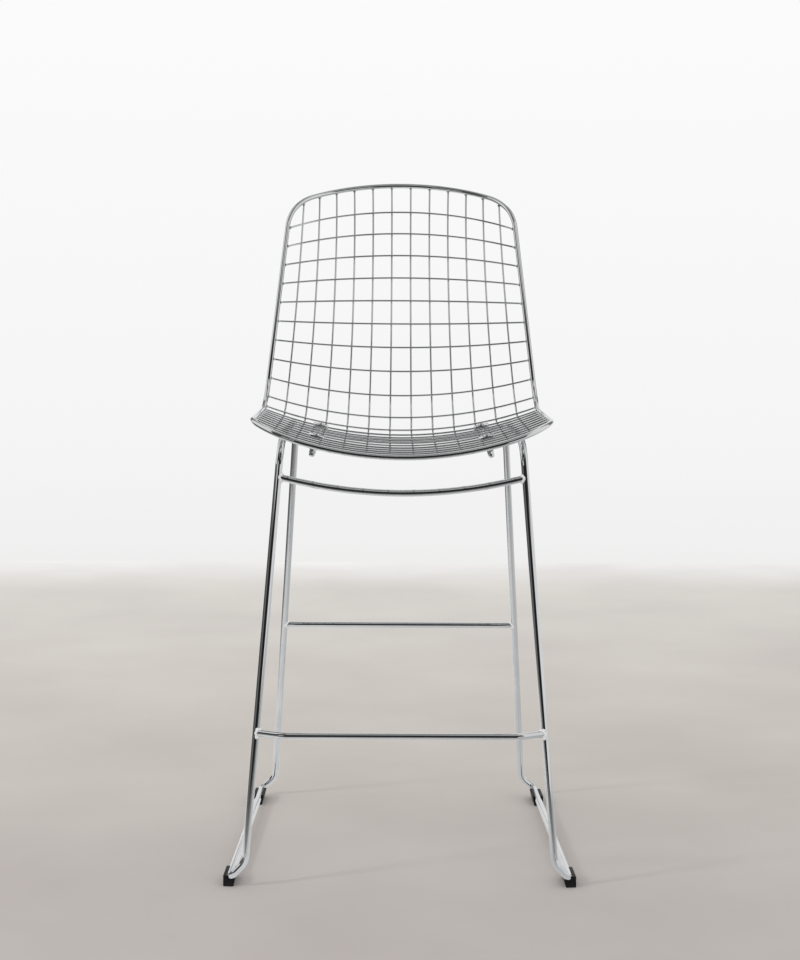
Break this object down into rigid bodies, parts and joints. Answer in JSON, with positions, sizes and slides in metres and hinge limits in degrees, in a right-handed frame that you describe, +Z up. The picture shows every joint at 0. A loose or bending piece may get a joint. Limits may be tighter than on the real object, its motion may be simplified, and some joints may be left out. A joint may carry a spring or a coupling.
{
  "type": "wire bar stool",
  "caption": "Counter-height stool with a one-piece wire mesh seat and back inside a rod rim, on bent-rod sled frames with a foot bar, stretcher and floor glides.",
  "frame": {"origin": "on the floor under the middle of the stool's outline", "axes": "+Z up, the sitter faces -Y, +X is the right side seen from the front"},
  "size_m": [0.5196, 0.5727, 1.0417],
  "materials": {
    "rod": "polished",
    "wire": "polished",
    "fitting": "polished",
    "glide": "satin"
  },
  "bodies": {
    "root": {"anchor_wire_left": "wire", "anchor_wire_right": "wire", "bolt_lug_front_left": "fitting", "bolt_lug_front_right": "fitting", "bolt_lug_rear_left": "fitting", "bolt_lug_rear_right": "fitting", "cap_nuts": "fitting", "clamp_plate_front_left": "fitting", "clamp_plate_front_right": "fitting", "clamp_plate_rear_left": "fitting", "clamp_plate_rear_right": "fitting", "cross_wire_01": "wire", "cross_wire_02": "wire", "cross_wire_03": "wire", "cross_wire_04": "wire", "cross_wire_05": "wire", "cross_wire_06": "wire", "cross_wire_07": "wire", "cross_wire_08": "wire", "cross_wire_09": "wire", "cross_wire_10": "wire", "cross_wire_11": "wire", "cross_wire_12": "wire", "cross_wire_13": "wire", "cross_wire_14": "wire", "cross_wire_15": "wire", "cross_wire_16": "wire", "cross_wire_17": "wire", "cross_wire_18": "wire", "cross_wire_19": "wire", "cross_wire_20": "wire", "front_bow": "rod", "front_foot_bar": "rod", "front_seat_rod": "rod", "glide_front_left": "glide", "glide_front_right": "glide", "glide_rear_left": "glide", "glide_rear_right": "glide", "long_wire_01": "wire", "long_wire_02": "wire", "long_wire_03": "wire", "long_wire_04": "wire", "long_wire_05": "wire", "long_wire_06": "wire", "long_wire_07": "wire", "long_wire_08": "wire", "long_wire_09": "wire", "long_wire_10": "wire", "long_wire_11": "wire", "long_wire_12": "wire", "rear_seat_rod": "rod", "rear_stretcher": "rod", "seat_bolts": "fitting", "seat_rim": "rod", "side_frame_left": "rod", "side_frame_right": "rod"}
  },
  "joints": []
}
